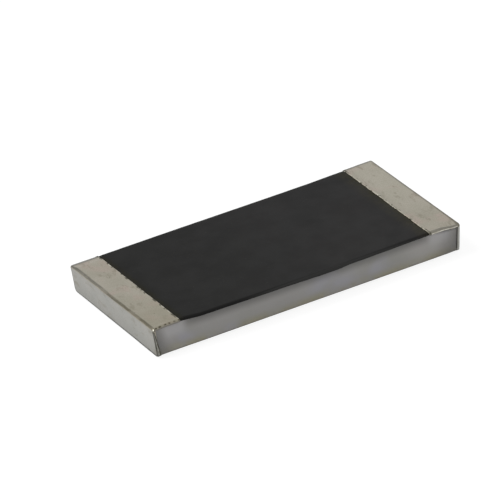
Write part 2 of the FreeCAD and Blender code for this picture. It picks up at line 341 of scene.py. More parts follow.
def foil_columns(half_width, depth, shoulder):
    """The columns across a row, as (y, depth, outward turn, distance from the free edge)."""
    across, behind = shoulder
    behind = min(behind, depth - LIP - RIM_GAP)
    edge = [(curl, depth, 180.0) for curl in RIM_CURLS]
    for step in range(RIM_STEPS + 1):
        degrees = 90 * step / RIM_STEPS
        turn = math.radians(degrees)
        edge.append((LIP * (1 - math.sin(turn)), depth - LIP * (1 - math.cos(turn)), 180 - degrees))
    for step in range(1, FLAT_STEPS):
        edge.append((0.0, depth - LIP - (depth - LIP - behind) * step / FLAT_STEPS, 90.0))
    for step in range(CORNER_STEPS + 1):
        degrees = 90 * step / CORNER_STEPS
        turn = math.radians(degrees)
        edge.append((across * (1 - math.cos(turn)), behind * (1 - math.sin(turn)), 90 - degrees))
    front = [(-half_width + inward, below, -turn) for inward, below, turn in edge]
    reach = half_width - across
    steps = round(2 * (tin_high.y - ROUND) / SPACING)
    middle = [(-reach + 2 * reach * step / steps, 0.0, 0.0) for step in range(1, steps)]
    back = [(-y, below, -turn) for y, below, turn in reversed(front)]
    columns = front + middle + back
    gone = [0.0]
    for (y, below, _), (next_y, next_below, _) in zip(columns, columns[1:]):
        gone.append(gone[-1] + math.hypot(next_y - y, next_below - below))
    return [(*column, min(far, gone[-1] - far)) for column, far in zip(columns, gone)]


COLUMNS = len(foil_columns(tin_high.y, ROUND, (ROUND, ROUND)))
print(len(foil_stations(1)), "rows of", COLUMNS, "columns")

# %% [markdown]
# The two caps aren't quite alike: the right one has wider corners, a wider rim and a
# rounder heel. The tops stand a little proud along their edges, because plating builds up
# there. Both caps have faint dents, and places where the tin slumps.

# %% Shape the surface of the tin
HEEL_HEIGHT = {-1: 0.110, 1: 0.140}
HOLLOW = 0.005
LEFT_BACK_SLUMP = 0.018
RIGHT_FRONT_SLUMP = 0.030
RIGHT_BACK_SLUMP = 0.012
DENTS = ((0.0022, 3.1, 3.0), (0.0014, 11.0, 7.0))  # depth, fineness and seed


def half_width_at(z, end):
    """Half the foil's width: a rounded heel draws it in to the solder pad."""
    share = min(1.0, max(0.0, z / HEEL_HEIGHT[end]))
    return PAD_SIDE + (side_face(z) - PAD_SIDE) * math.sqrt(share * (2.0 - share))


def dents(x, y, z, end):
    """How far the surface lies below its highest form."""
    parts = [depth * (0.5 + 0.5 * mottle(x, y, z, fine, seed * end)) for depth, fine, seed in DENTS]
    return sum(parts)


def slump(x, y, end):
    """How far the top lies low along the left cap's back edge and at two of the right's corners."""
    if end < 0:
        return LEFT_BACK_SLUMP * eased(y, 1.35, 1.50)
    front_corner = RIGHT_FRONT_SLUMP * eased(-y, 1.36, 1.52) * eased(x, 2.70, 3.12)
    return front_corner + RIGHT_BACK_SLUMP * eased(y, 1.36, 1.50) * (1.0 - eased(x, 2.64, 2.90))


def hollow(x, y, end, turn):
    """How far the top sinks between its raised edges, and where it slumps."""
    past_lip = eased(x, COAT_END + 0.016, COAT_END + 0.050)
    before_ridge = 1.0 - eased(x, tin_high.x - 0.10, tin_high.x - 0.06)
    within_sides = 1.0 - eased(abs(y), tin_high.y - 0.11, tin_high.y - 0.06)
    level = 1.0 - eased(abs(turn), 20, 70)
    return HOLLOW * (past_lip * before_ridge * within_sides) + slump(x, y, end) * level


def thicken(sheet, thickness):
    """Closes an open sheet with a second skin below it, at an even distance."""
    sheet.normal_update()
    below = {vert.co.copy().freeze(): vert.co - vert.normal * thickness for vert in sheet.verts}
    for vert in new_verts(bmesh.ops.extrude_face_region(sheet, geom=sheet.faces[:])):
        vert.co = below[vert.co.copy().freeze()]

# %% [markdown]
# Each vertex of a cap also remembers three things about its place on the foil: how far it
# is from the ridge and from the free edge, and how far it has turned round a corner. The
# finish reads them later, to draw wear along the folds. The left cap is folded at the
# right end too, and then mirrored.

# %% Fold the foil round each end
BORDER_REACH = 0.25  # how far from the border the foil and the coat shift with it


def tin_cap(name, end, node):
    """A cap of tin for one end, folded from a flat grid and given a second skin."""
    foil = bmesh.new()
    stations = foil_stations(end)
    from_ridge = foil.verts.layers.float.new("from_ridge")
    from_rim = foil.verts.layers.float.new("from_rim")
    turned = foil.verts.layers.float.new("turned")
    bmesh.ops.create_grid(foil, x_segments=len(stations) - 1, y_segments=COLUMNS - 1, size=1.0)
    grid = in_order(foil)
    for number, ((surface, rim, angle, curl), far) in enumerate(zip(stations, walked(stations))):
        inward = (rim - surface).normalized()
        shoulder = shoulder_at(end, surface.y, angle)
        profile = foil_columns(half_width_at(surface.y, end), (rim - surface).length, shoulder)
        for vert, (y, below, turn, edge) in zip(grid[number * COLUMNS:], profile):
            outward = math.radians(turn)
            y -= curl * math.sin(outward)
            below += curl * math.cos(outward)
            flat = 1.0 - eased(abs(turn), 100, 170)
            below += dents(surface.x, y, surface.y, end) * flat
            shift = 0.0
            if angle > 45:
                near_border = 1.0 - eased(surface.x, COAT_END, COAT_END + BORDER_REACH)
                below += hollow(surface.x, y, end, turn) * flat
                shift = border_shift(y, end) * near_border
            place = surface + inward * below
            vert.co = Vector((place.x + shift, y, place.y))
            vert[from_ridge] = far
            vert[from_rim] = edge - profile[CURL_COLUMNS][3]
            vert[turned] = abs(turn) / 90
    thicken(foil, FOIL)
    if end < 0:
        bmesh.ops.scale(foil, vec=(-1, 1, 1), verts=foil.verts)
    follow_the_break(foil)
    bmesh.ops.recalc_face_normals(foil, faces=foil.faces)
    return finished_piece(name, foil, node)


cap_left = tin_cap("tin_cap_left", -1, "tin_plating_left")
cap_right = tin_cap("tin_cap_right", 1, "tin_plating_right")

# %% [markdown]
# ## The layers under the tin
# The nickel and the film below it lie under the tin like nested trays, over a printed
# electrode. They follow the broken side too, stop a little short of the tin's rim, and
# thin out where the tin slumps. Copies of the CAD layers, with their points moved, keep
# everything else about them true.

# %% Fit the covered layers
RIM_COVER = 0.016
LIP_COVER = 0.025
HEEL_COVER = 0.010
LAYER_LIP = 2.58  # about where the layers stop on top in the CAD model, beside the coat
LAYER_SIDE = 1.49  # past this, a point lies on a long side
PAD_CORNER = 3.10  # the layers' lower corners come no nearer the middle than this
STACK = 0.034  # a little more than the layers' height above the tile
CUTS_ALONG = (-3.1, -3.0, -2.9, -2.8, -2.7, 2.65, 2.7, 2.8, 2.9, 3.0, 3.1)
CUTS_ACROSS = (
    -1.50, -1.45, -1.40, -1.35, -1.25, -1.15, -0.85, -0.5,
    -0.2, 0.2, 0.6, 1.0, 1.3, 1.4, 1.45, 1.5,
)


def tucked(x, y, z):
    """Where a point of a covered layer lies, so that the uneven tin still hides it."""
    end = math.copysign(1, x)
    reach = abs(x)
    if LAYER_LIP < reach < BORDER_LEFT + LIP_COVER:
        reach = BORDER_LEFT + LIP_COVER
    if abs(y) > LAYER_SIDE and z < RIM_TOP - 0.004:
        reach = max(reach, rim_edge(end, z) + RIM_COVER)
    if abs(y) > 1.44 and z < ROUND:  # at a lower corner
        reach = max(reach, PAD_CORNER)
    if 1.38 < abs(y) < 1.445 and z < 0.045:  # along the pad's side
        y *= 0.99
    if z < HEEL_HEIGHT[end]:
        y = math.copysign(min(abs(y), half_width_at(z, end) - HEEL_COVER), y)
    above_tile = max(0.0, z - TILE_TOP)
    return end * reach, y, z - above_tile * slump(reach, y, end) / STACK


def covered_layer(name, node_name):
    """A merged copy of a CAD layer, cut finely enough to follow the tin above it."""
    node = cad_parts[node_name]
    shape = bmesh.new()
    shape.from_mesh(node.data)
    bmesh.ops.transform(shape, matrix=node.matrix_world, verts=shape.verts)
    bmesh.ops.scale(shape, vec=(1 / MM, 1 / MM, 1 / MM), verts=shape.verts)
    bmesh.ops.remove_doubles(shape, verts=shape.verts, dist=1e-5)
    cut_across(shape, 1, CUTS_ACROSS)
    cut_across(shape, 0, CUTS_ALONG)
    for vert in shape.verts:
        vert.co = Vector(tucked(*vert.co))
    follow_the_break(shape)
    return finished_piece(name, shape, node_name)


COVERED = {
    "nickel": ("nickel_barrier", "nickel"),
    "end_film": ("edge_film", "edge_conductor"),
    "electrode": ("top_electrode", "silver_conductor"),
}
covered = []
for title, (node_name, slot) in COVERED.items():
    for side in ("left", "right"):
        covered.append((covered_layer(f"{title}_{side}", f"{node_name}_{side}"), slot))

# %% [markdown]
# ## The black coat
# The coat is printed as a thick ink and levels itself before it cures, so it is flat in
# the middle and thins in a soft curve to its borders. A block would need its edges carved,
# while a grid that is pulled into a crown has that curve at once. The grid is extruded to
# give it an underside, which lies on the layers beneath. On this chip the ink sagged over
# the middle of the front edge, and its back border lies a little in from the tile's edge.

# %% The coat's levels and borders
CROWN = coat_high.z
CREST_SIDE = 1.474
CREST_END = 2.445
EDGE_LEVEL = 0.554
BORDER_LEVEL = 0.566
SKIRT_LEVEL = coat_low.z
RIPPLE = 0.0006
GLASS_END = 2.435
GLASS_SIDE = 1.215
GLASS_TOP = 0.558
ELECTRODE = 0.012
SAG = 0.012
WAVER = 0.003
BACK_SHIFT = 0.015


def rolled(place, crest, rim, drop):
    """How far a rounded rim falls below the crown."""
    if place <= crest:
        return 0.0
    share = min(1.0, (place - crest) / (rim - crest))
    return drop * share * share * share


def coat_level(x, y):
    """The level of the coat's surface, rounded down to its borders and faintly rippled."""
    side = rolled(abs(y), CREST_SIDE, COAT_SIDE, CROWN - EDGE_LEVEL)
    tip = rolled(abs(x), CREST_END, COAT_END, CROWN - BORDER_LEVEL)
    ripple = RIPPLE * (1.0 + mottle(x, y, 0, 2.4, 21.0))
    return CROWN - math.hypot(side, tip) - ripple


def coat_underside(x, y):
    """The level of what the coat lies on: the glass, the electrodes or the ceramic."""
    if abs(y) < GLASS_SIDE and abs(x) < GLASS_END:
        return GLASS_TOP + ELECTRODE * eased(abs(x), 2.22, 2.25)
    on_electrode = eased(abs(x), GLASS_END, 2.46) * (1.0 - eased(abs(y), 1.19, 1.20))
    return TILE_TOP + ELECTRODE * on_electrode


def sag(x):
    """1 where the ink hung over the front edge before it cured, and 0 away from there."""
    return eased(x, -0.60, 0.45) * (1.0 - eased(x, 0.60, 0.88))


def side_shift(x, y):
    """How far the coat's long border lies in from the tile's edge."""
    waver = WAVER * (1.0 + mottle(x, y, 0, 6.0, 17.0))
    if y > 0:
        return waver + BACK_SHIFT * eased(x, -1.5, 1.2) * (1.0 - eased(x, 1.70, 2.45))
    return waver - SAG * sag(x)


# %% Lay a grid and crown it
COAT_STEP_X = 0.04
COAT_STEP_Y = 0.025


def spaced(half, step, edge_places):
    """Evenly spaced places from -half to half, with closer ones at the edges."""
    count = round(half / step)
    inner = half - edge_places[-1]
    places = [inner * number / count for number in range(count + 1)]
    places += [half - gap for gap in reversed(edge_places[:-1])] + [half]
    return [-place for place in reversed(places[1:])] + places


across = spaced(COAT_SIDE, COAT_STEP_Y, [0.003, 0.010, 0.020, 0.035, 0.055, 0.085])
along = spaced(COAT_END, COAT_STEP_X, [0.002, 0.006, 0.012, 0.020, 0.035])

ink = bmesh.new()
bmesh.ops.create_grid(ink, x_segments=len(along) - 1, y_segments=len(across) - 1, size=1.0)
for number, vert in enumerate(in_order(ink)):
    x, y = along[number // len(across)], across[number % len(across)]
    vert.co = Vector((x, y, coat_underside(x, y)))
for vert in new_verts(bmesh.ops.extrude_face_region(ink, geom=ink.faces[:])):
    vert.co.z = coat_level(vert.co.x, vert.co.y)
for vert in ink.verts:
    x, y = vert.co.x, vert.co.y
    if abs(y) > COAT_SIDE - 1e-4 and vert.co.z < EDGE_LEVEL - 0.002:
        vert.co.z = SKIRT_LEVEL
    end = math.copysign(1, x)
    side = math.copysign(1, y) * side_shift(x, y)
    vert.co.x += end * border_shift(y, end) * eased(abs(x), COAT_END - BORDER_REACH, COAT_END)
    vert.co.y -= side * eased(abs(y), COAT_SIDE - 0.20, COAT_SIDE - 0.02)
    vert.co.z -= SAG * sag(x) * eased(-y, COAT_SIDE - 0.030, COAT_SIDE - 0.002)
follow_the_break(ink)
bmesh.ops.recalc_face_normals(ink, faces=ink.faces)
coat = finished_piece("overcoat", ink, "protective_coat")

# %% [markdown]
# ## The ceramic tile
# The alumina sheet is scored and snapped into tiles, so the sides and ends lean in a
# little towards the underside and their edges are broken. A cube with its corners drawn in
# and its edges bevelled has that form. Cuts across it give the snapped sides enough faces
# for the slight waves of a fracture.

# %% Snap the tile
TILE_END = ceramic_high.x
TILE_SIDE = ceramic_high.y
TILE_BREAK = 0.020
END_UNDERCUT = 0.035
SIDE_UNDERCUT = 0.012
SLOW_WAVE = 0.0020
QUICK_WAVE = 0.0012

tile = bmesh.new()
bmesh.ops.create_cube(tile, size=2.0)
for corner in tile.verts:
    at_base = corner.co.z < 0
    corner.co.x *= TILE_END - END_UNDERCUT * at_base
    corner.co.y *= TILE_SIDE - SIDE_UNDERCUT * at_base
    corner.co.z = ceramic_low.z if at_base else ceramic_high.z
bmesh.ops.bevel(
    tile, geom=tile.edges[:], offset=TILE_BREAK, affect="EDGES", segments=3, profile=0.5,
    material=-1,
)
cut_across(tile, 0, [-3.06 + 0.06 * number for number in range(103)])
cut_across(tile, 2, [0.10 + 0.05 * number for number in range(9)])
for vert in tile.verts:
    x, y, z = vert.co
    if abs(y) > TILE_SIDE - 0.06 and 0.07 < z < 0.51:
        slow = SLOW_WAVE * mottle(x, y, z, 3.0, 31.0)
        quick = QUICK_WAVE * mottle(x, y, z, 9.0, 37.0)
        vert.co.y -= math.copysign(abs(slow + quick), y)
follow_the_break(tile)
bmesh.ops.recalc_face_normals(tile, faces=tile.faces)
ceramic = finished_piece("ceramic_tile", tile, "ceramic_substrate")

# %% [markdown]
# ## Building finishes from nodes
# Every finish reads the piece's own coordinates, scaled so that one unit of a pattern is a
# millimetre. Small helpers keep the trees short: one adds a node with its settings, others
# make masks between 0 and 1, and one lays colours over each other, each where its mask
# says. So a finish can be written as a list of what a close look at the real thing shows.

# %% Helpers for the materials
def add(tree, kind, inputs=None, **settings):
    """A new node, with its settings, its values and its links."""
    node = tree.nodes.new(kind)
    for name, value in settings.items():
        setattr(node, name, value)
    for name, value in (inputs or {}).items():
        if isinstance(value, bpy.types.NodeSocket):
            tree.links.new(value, node.inputs[name])
        else:
            node.inputs[name].default_value = value
    return node


def new_finish(name, roughness, metallic=0.0):
    """A material, its tree, its shader and a pattern space in millimetres."""
    material = bpy.data.materials.new(name)
    material.use_nodes = True
    tree = material.node_tree
    shader = tree.nodes["Principled BSDF"]
    shader.inputs["Roughness"].default_value = roughness
    shader.inputs["Metallic"].default_value = metallic
    place = add(tree, "ShaderNodeTexCoord").outputs["Object"]
    scaled = add(tree, "ShaderNodeMapping", {"Vector": place, "Scale": (1 / MM, 1 / MM, 1 / MM)})
    return material, tree, shader, scaled.outputs["Vector"]


def ways(tree, space):
    """The three coordinates of a pattern space."""
    return add(tree, "ShaderNodeSeparateXYZ", {"Vector": space}).outputs[:]


def clouds(tree, space, scale, detail=3.0, roughness=0.5, stretch=None):
    """Soft noise from 0 to 1."""
    if stretch:
        space = add(tree, "ShaderNodeMapping", {"Vector": space, "Scale": stretch}).outputs["Vector"]
    inputs = {"Vector": space, "Scale": scale, "Detail": detail, "Roughness": roughness}
    return add(tree, "ShaderNodeTexNoise", inputs).outputs["Fac"]


def carried(tree, name):
    """A number that the piece's vertices carry."""
    return add(tree, "ShaderNodeAttribute", attribute_name=name).outputs["Fac"]


def sums(tree, operation, first, second=None, third=None):
    """One step of arithmetic on up to three values."""
    node = tree.nodes.new("ShaderNodeMath")
    node.operation = operation
    for socket, value in zip(node.inputs, (first, second, third)):
        if isinstance(value, bpy.types.NodeSocket):
            tree.links.new(value, socket)
        elif value is not None:
            socket.default_value = value
    return node.outputs["Value"]


def product(tree, *masks):
    """Several masks multiplied: 1 only where all of them are."""
    result = masks[0]
    for mask in masks[1:]:
        result = sums(tree, "MULTIPLY", result, mask)
    return result


def between(tree, value, low, high, out_low=0.0, out_high=1.0):
    """The value taken from one range to another, eased at both ends."""
    inputs = {"Value": value, "From Min": low, "From Max": high, "To Min": out_low, "To Max": out_high}
    return add(tree, "ShaderNodeMapRange", inputs, interpolation_type="SMOOTHSTEP").outputs["Result"]


def band(tree, value, first, last, soft):
    """1 from a first value to a last one, and 0 past a soft edge outside them."""
    rise = between(tree, value, first - soft, first)
    return product(tree, rise, between(tree, value, last, last + soft, 1.0, 0.0))


def blended(tree, mask, first, second):
    """The first colour where the mask is 0 and the second where it is 1."""
    node = tree.nodes.new("ShaderNodeMix")
    node.data_type = "RGBA"
    for name, value in (("Factor_Float", mask), ("A_Color", first), ("B_Color", second)):
        socket = next(each for each in node.inputs if each.identifier == name)
        if isinstance(value, bpy.types.NodeSocket):
            tree.links.new(value, socket)
        else:
            socket.default_value = value
    return next(each for each in node.outputs if each.identifier == "Result_Color")


def layered(tree, colour, layers):
    """A colour with others laid over it in turn, each as strongly as its mask says."""
    for mask, over in layers:
        colour = blended(tree, mask, colour, over)
    return colour


def tint(red, green, blue):
    """A colour as it looks on a screen, from 0 to 255, in the linear values of a shader."""
    linear = []
    for level in (red, green, blue):
        level /= 255
        linear.append(level / 12.92 if level <= 0.04045 else ((level + 0.055) / 1.055) ** 2.4)
    return (*linear, 1.0)


def surfaced(tree, shader, colour, roughness, heights, depth):
    """Gives the shader its colour, its gloss, and bumps depth millimetres high for a height of 1."""
    bump = add(tree, "ShaderNodeBump", {"Height": heights, "Distance": depth * MM})
    tree.links.new(colour, shader.inputs["Base Color"])
    tree.links.new(roughness, shader.inputs["Roughness"])
    tree.links.new(bump.outputs["Normal"], shader.inputs["Normal"])

# %% [markdown]
# ## Matte tin
# Electroplated matte tin is a warm grey metal with a fine crystalline grain, faint clouds
# of tarnish and smudges. The top is warmer, and the end duller towards the board. The
# grain is far too small for the mesh and is left to a bump, over the mesh's own dents.
# First come the masks that say where on a cap a point lies, then the plating's own colours.

# %% The tin's own colours
tin, tree, shader, space = new_finish("matte_tin", 0.42, metallic=1.0)
x_way, y_way, height = ways(tree, space)
ridge_way = carried(tree, "from_ridge")
rim_way = carried(tree, "from_rim")
turn = carried(tree, "turned")
right_end = sums(tree, "GREATER_THAN", x_way, 0.0)
left_end = sums(tree, "SUBTRACT", 1.0, right_end)
at_front = sums(tree, "LESS_THAN", y_way, 0.0)
at_back = sums(tree, "SUBTRACT", 1.0, at_front)
on_top = between(tree, ridge_way, -0.045, -0.02, 1.0, 0.0)
on_end = between(tree, ridge_way, 0.02, 0.045)

warm_clouds = between(tree, clouds(tree, space, 1.7), 0.35, 0.65)
rosy_clouds = between(tree, clouds(tree, space, 2.6, 2.0), 0.52, 0.70)
pale = product(tree, between(tree, x_way, 2.53, 2.74, 0.0, 0.42), between(tree, y_way, -1.0, 0.4))
top_tin = layered(tree, tint(161, 156, 144), [
    (warm_clouds, tint(154, 150, 137)),
    (rosy_clouds, tint(162, 152, 141)),
    (pale, tint(172, 168, 155)),
])
end_tin = layered(tree, tint(160, 158, 153), [
    (between(tree, clouds(tree, space, 2.6), 0.3, 0.7), tint(152, 152, 147)),
    (between(tree, height, 0.06, 0.40, 0.60, 0.0), tint(138, 138, 133)),
])
grain = clouds(tree, space, 38.0, 3.0, 0.6)
grain_depth = sums(tree, "MULTIPLY_ADD", on_end, -0.14, 0.22)
smudge = clouds(tree, space, 7.0, 5.0, 0.65, stretch=(1.0, 0.45, 1.0))
plating = layered(tree, blended(tree, on_end, top_tin, end_tin), [
    (product(tree, between(tree, grain, 0.25, 0.75), grain_depth), tint(118, 115, 104)),
    (between(tree, smudge, 0.53, 0.70, 0.0, 0.62), tint(124, 119, 104)),
])

# %% [markdown]
# The ridge between the top and the end is where parts rub in the feeder, so it is darker
# there, partly from that wear and partly as painted shade and a painted dark reflection on
# its bend, in a line that wanders and fades a little. The left cap's top is also dulled
# towards the front.

# %% Rub and shade the ridge
patchy = clouds(tree, space, 5.0, 4.0)
dulled = product(
    tree, between(tree, y_way, -1.45, 0.20, 0.72, 0.0), left_end, on_top,
    between(tree, patchy, 0.2, 0.6, 0.5, 1.0),
)
slow_wander = sums(tree, "MULTIPLY_ADD", clouds(tree, space, 1.5, 2.0), 0.026, -0.013)
quick_wander = sums(tree, "MULTIPLY_ADD", clouds(tree, space, 7.0, 2.0), 0.016, -0.008)
ridge_here = sums(tree, "ADD", ridge_way, sums(tree, "ADD", slow_wander, quick_wander))
ridge_start = sums(tree, "MULTIPLY_ADD", right_end, -0.012, -0.020)
# painted shade and a painted dark reflection along the ridge's bend, over its wear
ridge_wear_and_shade = product(
    tree, between(tree, sums(tree, "SUBTRACT", ridge_here, ridge_start), -0.034, 0.002),
    between(tree, ridge_here, 0.002, 0.028, 1.0, 0.0),
    between(tree, patchy, 0.36, 0.58, 0.80, 1.0),
    sums(tree, "MULTIPLY_ADD", right_end, -0.22, 1.0),
)
ridge_tone = blended(tree, between(tree, y_way, -0.9, 1.2), tint(84, 80, 67), tint(95, 93, 86))
worn_and_shaded = layered(tree, plating, [(dulled, tint(138, 133, 116)), (ridge_wear_and_shade, ridge_tone)])

# %% [markdown]
# Along the front edges of the tops the two caps differ. The left one's fold is a row of
# fine dark dashes of painted shadow, with a dull strip below. The right one has a painted
# highlight as a bright bead of tin, with a painted shadow line below it and a faint line
# inside it. Both back edges are slightly dull.

# %% Edge the tops
wavering = sums(tree, "MULTIPLY_ADD", x_way, 62.0, sums(tree, "MULTIPLY", patchy, 13.0))
dash = between(tree, sums(tree, "SINE", wavering), -0.3, 0.5, 0.20, 0.85)
dash_strength = between(tree, clouds(tree, space, 13.0, 2.0), 0.38, 0.58, 0.40, 1.0)
by_corner = between(tree, x_way, -3.00, -2.90, 1.0, 0.0)
# painted shadow: fine dark dashes under the left cap's fold
shadow_dashes = product(
    tree, band(tree, turn, 0.25, 0.60, 0.15), on_top, dash,
    sums(tree, "MAXIMUM", dash_strength, by_corner), at_front, left_end,
)
strip_below = product(tree, band(tree, turn, 0.78, 1.6, 0.14), on_top, at_front, left_end)
inner_line = product(
    tree, band(tree, rim_way, 0.030, 0.086, 0.020), on_top, at_front, right_end,
    between(tree, patchy, 0.35, 0.60, 0.55, 1.0),
)
# painted highlight: the bright bead along the right cap's front edge
bead_highlight = product(
    tree, band(tree, rim_way, 0.006, 0.014, 0.008), on_top, at_front, right_end,
    between(tree, clouds(tree, space, 11.0), 0.40, 0.56, 0.35, 1.0),
)
# painted shadow below the bead
shadow_below_bead = product(tree, between(tree, rim_way, -0.004, 0.003, 1.0, 0.0), on_top, at_front, right_end)
edged = layered(tree, worn_and_shaded, [
    (shadow_dashes, tint(62, 58, 44)),
    (strip_below, tint(118, 115, 108)),
    (inner_line, tint(116, 113, 104)),
    (bead_highlight, tint(196, 193, 184)),
    (shadow_below_bead, tint(84, 82, 76)),
    (product(tree, between(tree, y_way, 1.474, 1.502), on_top), tint(126, 124, 118)),
])

# %% [markdown]
# Down the ends, the upright corners, the rims and the heels show as darker, streaky lines,
# partly dirt and wear and partly painted shade: a painted dark reflection down the left
# front corner, painted shadow along the rims and painted contact shadow along the heels.
# One painted glint sits where the left ridge meets the front corner.

# %% Line the ends
streaky = between(tree, patchy, 0.3, 0.6, 0.65, 0.95)
high_up = between(tree, height, 0.36, 0.52, 0.0, 0.85)
corner_line = band(tree, turn, 0.25, 0.60, 0.12)
rim_line = between(tree, rim_way, 0.010, 0.018, 1.0, 0.0)
corner_top = product(tree, band(tree, turn, 0.25, 1.2, 0.12), high_up)
lines = sums(tree, "MAXIMUM", sums(tree, "MAXIMUM", corner_line, rim_line), corner_top)
# painted shade and a painted dark reflection down the left front corner and rim, with some dirt
left_wear_and_shade_lines = product(tree, lines, on_end, left_end, at_front, streaky)
strip_spots = between(tree, clouds(tree, space, 15.0, 2.0), 0.40, 0.60, 0.30, 0.90)
strip = product(tree, band(tree, turn, 0.75, 1.60, 0.10), on_end, left_end, at_front, strip_spots)
# painted shadow along the right cap's rim
right_rim_shadow = product(tree, between(tree, rim_way, 0.000, 0.008, 0.40, 0.0), on_end, right_end, at_front)
glint = product(
    tree, band(tree, turn, 0.38, 0.56, 0.1), band(tree, ridge_way, -0.004, 0.012, 0.010),
    left_end, at_front,
)
back_corner = product(tree, band(tree, turn, 0.10, 1.2, 0.10), on_end, at_back, streaky)
# painted contact shadow along the heels
heel_shadow_line = product(tree, between(tree, height, 0.046, 0.088, 1.0, 0.0), on_end, streaky)
lined = layered(tree, edged, [
    (strip, tint(98, 96, 86)),
    (left_wear_and_shade_lines, tint(54, 52, 43)),
    (right_rim_shadow, tint(64, 63, 58)),
    (glint, tint(240, 238, 226)),
    (back_corner, tint(66, 66, 60)),
    (heel_shadow_line, tint(62, 61, 56)),
])

# %% [markdown]
# Beside the coat the tin's lip has spots of painted highlight in places, and the black ink
# bleeds over it in others. A few small nicks from handling are left for last, because they
# lie over everything else, and they dent the bump too.

# %% Finish the lip and the nicks
BORDER_FROM_RIDGE = walked(foil_stations(1))[len(CURLS) + LIP_STEPS]
lip_line = band(tree, ridge_way, BORDER_FROM_RIDGE - 0.008, BORDER_FROM_RIDGE + 0.008, 0.008)
# spots of painted highlight on the lip
lip_highlight_spots = between(tree, clouds(tree, space, 8.0, 2.0), 0.50, 0.66, 0.0, 0.85)
bleed_line = band(tree, ridge_way, BORDER_FROM_RIDGE - 0.03, BORDER_FROM_RIDGE + 0.018, 0.012)
bleed_spots = between(tree, clouds(tree, space, 10.0, 3.0), 0.52, 0.60, 0.0, 0.9)
cells = add(tree, "ShaderNodeTexVoronoi", {"Vector": space, "Scale": 6.0, "Randomness": 1.0})
nick = between(tree, cells.outputs["Distance"], 0.03, 0.10, 1.0, 0.0)
nicks = product(tree, nick, between(tree, clouds(tree, space, 1.3, 1.0), 0.46, 0.56))
handled = layered(tree, lined, [
    (product(tree, lip_line, lip_highlight_spots), tint(184, 181, 169)),
    (product(tree, bleed_line, bleed_spots), tint(72, 70, 58)),
    (nicks, tint(112, 107, 92)),
])
gloss = between(tree, grain, 0.2, 0.8, 0.36, 0.52)
crystals = sums(tree, "MULTIPLY_ADD", grain, 0.35, clouds(tree, space, 9.0, 4.0))
surfaced(tree, shader, handled, gloss, sums(tree, "SUBTRACT", crystals, nicks), 0.0022)
print("tin:", len(tree.nodes), "nodes")

# %% [markdown]
# ## Black overcoat
# The coat is an epoxy filled with carbon, nearly black and satin. Its sheen wavers where
# it levelled, it is a little deeper towards the left, and it turns slightly olive where it
# thins over the plating's border. Its long edges carry a painted band: painted shade at the
# left, turning greyer towards the right as a painted sheen.

# %% The coat's finish
black, tree, shader, space = new_finish("black_overcoat", 0.55)
x_way, y_way, _ = ways(tree, space)
right_end = sums(tree, "GREATER_THAN", x_way, 0.0)
left_end = sums(tree, "SUBTRACT", 1.0, right_end)
at_back = sums(tree, "GREATER_THAN", y_way, 0.0)
border = sums(tree, "MULTIPLY_ADD", right_end, BORDER_RIGHT - BORDER_LEFT, BORDER_LEFT)
border_way = sums(tree, "SUBTRACT", sums(tree, "ABSOLUTE", x_way), border)
side_way = sums(tree, "MULTIPLY_ADD", at_back, 0.035, sums(tree, "ABSOLUTE", y_way))
blotches = between(tree, clouds(tree, space, 9.0), 0.40, 0.58, 0.45, 1.0)
# painted shade along the long edges, turning to a painted sheen towards the right
edge_shade_and_sheen = blended(tree, between(tree, x_way, -1.7, -0.6), tint(22, 22, 21), tint(47, 47, 46))
speck = clouds(tree, space, 26.0, 2.0)
resin = layered(tree, tint(24, 24, 24), [
    (between(tree, clouds(tree, space, 1.1), 0.3, 0.7), tint(28, 27, 27)),
    (between(tree, x_way, -2.8, 1.8, 0.9, 0.0), tint(16, 16, 15)),
    (product(tree, between(tree, border_way, -0.30, -0.10), right_end, blotches), tint(36, 34, 27)),
    (
        product(tree, between(tree, border_way, -0.13, -0.03), blotches),
        blended(tree, right_end, tint(23, 21, 3), tint(29, 27, 9)),
    ),
    (product(tree, between(tree, border_way, -0.26, -0.06, 0.0, 0.35), left_end), tint(12, 12, 8)),
    (between(tree, side_way, 1.484, 1.512), edge_shade_and_sheen),
    (between(tree, speck, 0.62, 0.75, 0.0, 0.4), tint(44, 44, 42)),
])
gloss = between(tree, clouds(tree, space, 2.0), 0.3, 0.7, 0.54, 0.62)
ripples = sums(tree, "MULTIPLY_ADD", speck, 0.4, clouds(tree, space, 6.0))
surfaced(tree, shader, resin, gloss, ripples, 0.0007)
shader.inputs["Specular IOR Level"].default_value = 0.10
print("coat:", len(tree.nodes), "nodes")

# %% [markdown]
# ## Alumina
# Alumina is a pale, slightly see-through ceramic. Light that enters a side is soaked up by
# the black coat above and by the metal at the ends, and the side is painted darker towards
# them as painted shade. Painted shadow lies under the right cap's top rim, and a thin band
# of painted shade runs along the lower edge. Just before each cap lies a paler patch, and
# the snapped lower edge is a little yellower.

# %% The ceramic's finish
RIM_AT_BASE = 3.070
RIM_SLOPE = 0.11

alumina, tree, shader, space = new_finish("alumina", 0.5)
x_way, _, height = ways(tree, space)
from_middle = sums(tree, "ABSOLUTE", x_way)
right_end = sums(tree, "GREATER_THAN", x_way, 0.0)
yellowed = product(
    tree, between(tree, height, 0.06, 0.24, 1.0, 0.0),
    between(tree, clouds(tree, space, 2.2), 0.35, 0.6, 0.3, 1.0),
)
# painted shade under the coat
shade_under_coat = product(
    tree, between(tree, height, 0.335, 0.545, 0.0, 0.84), between(tree, from_middle, 2.30, 2.80, 1.0, 0.0),
)
by_cap = product(
    tree, band(tree, from_middle, 2.62, 2.85, 0.18), between(tree, height, 0.22, 0.42, 0.0, 0.8),
)
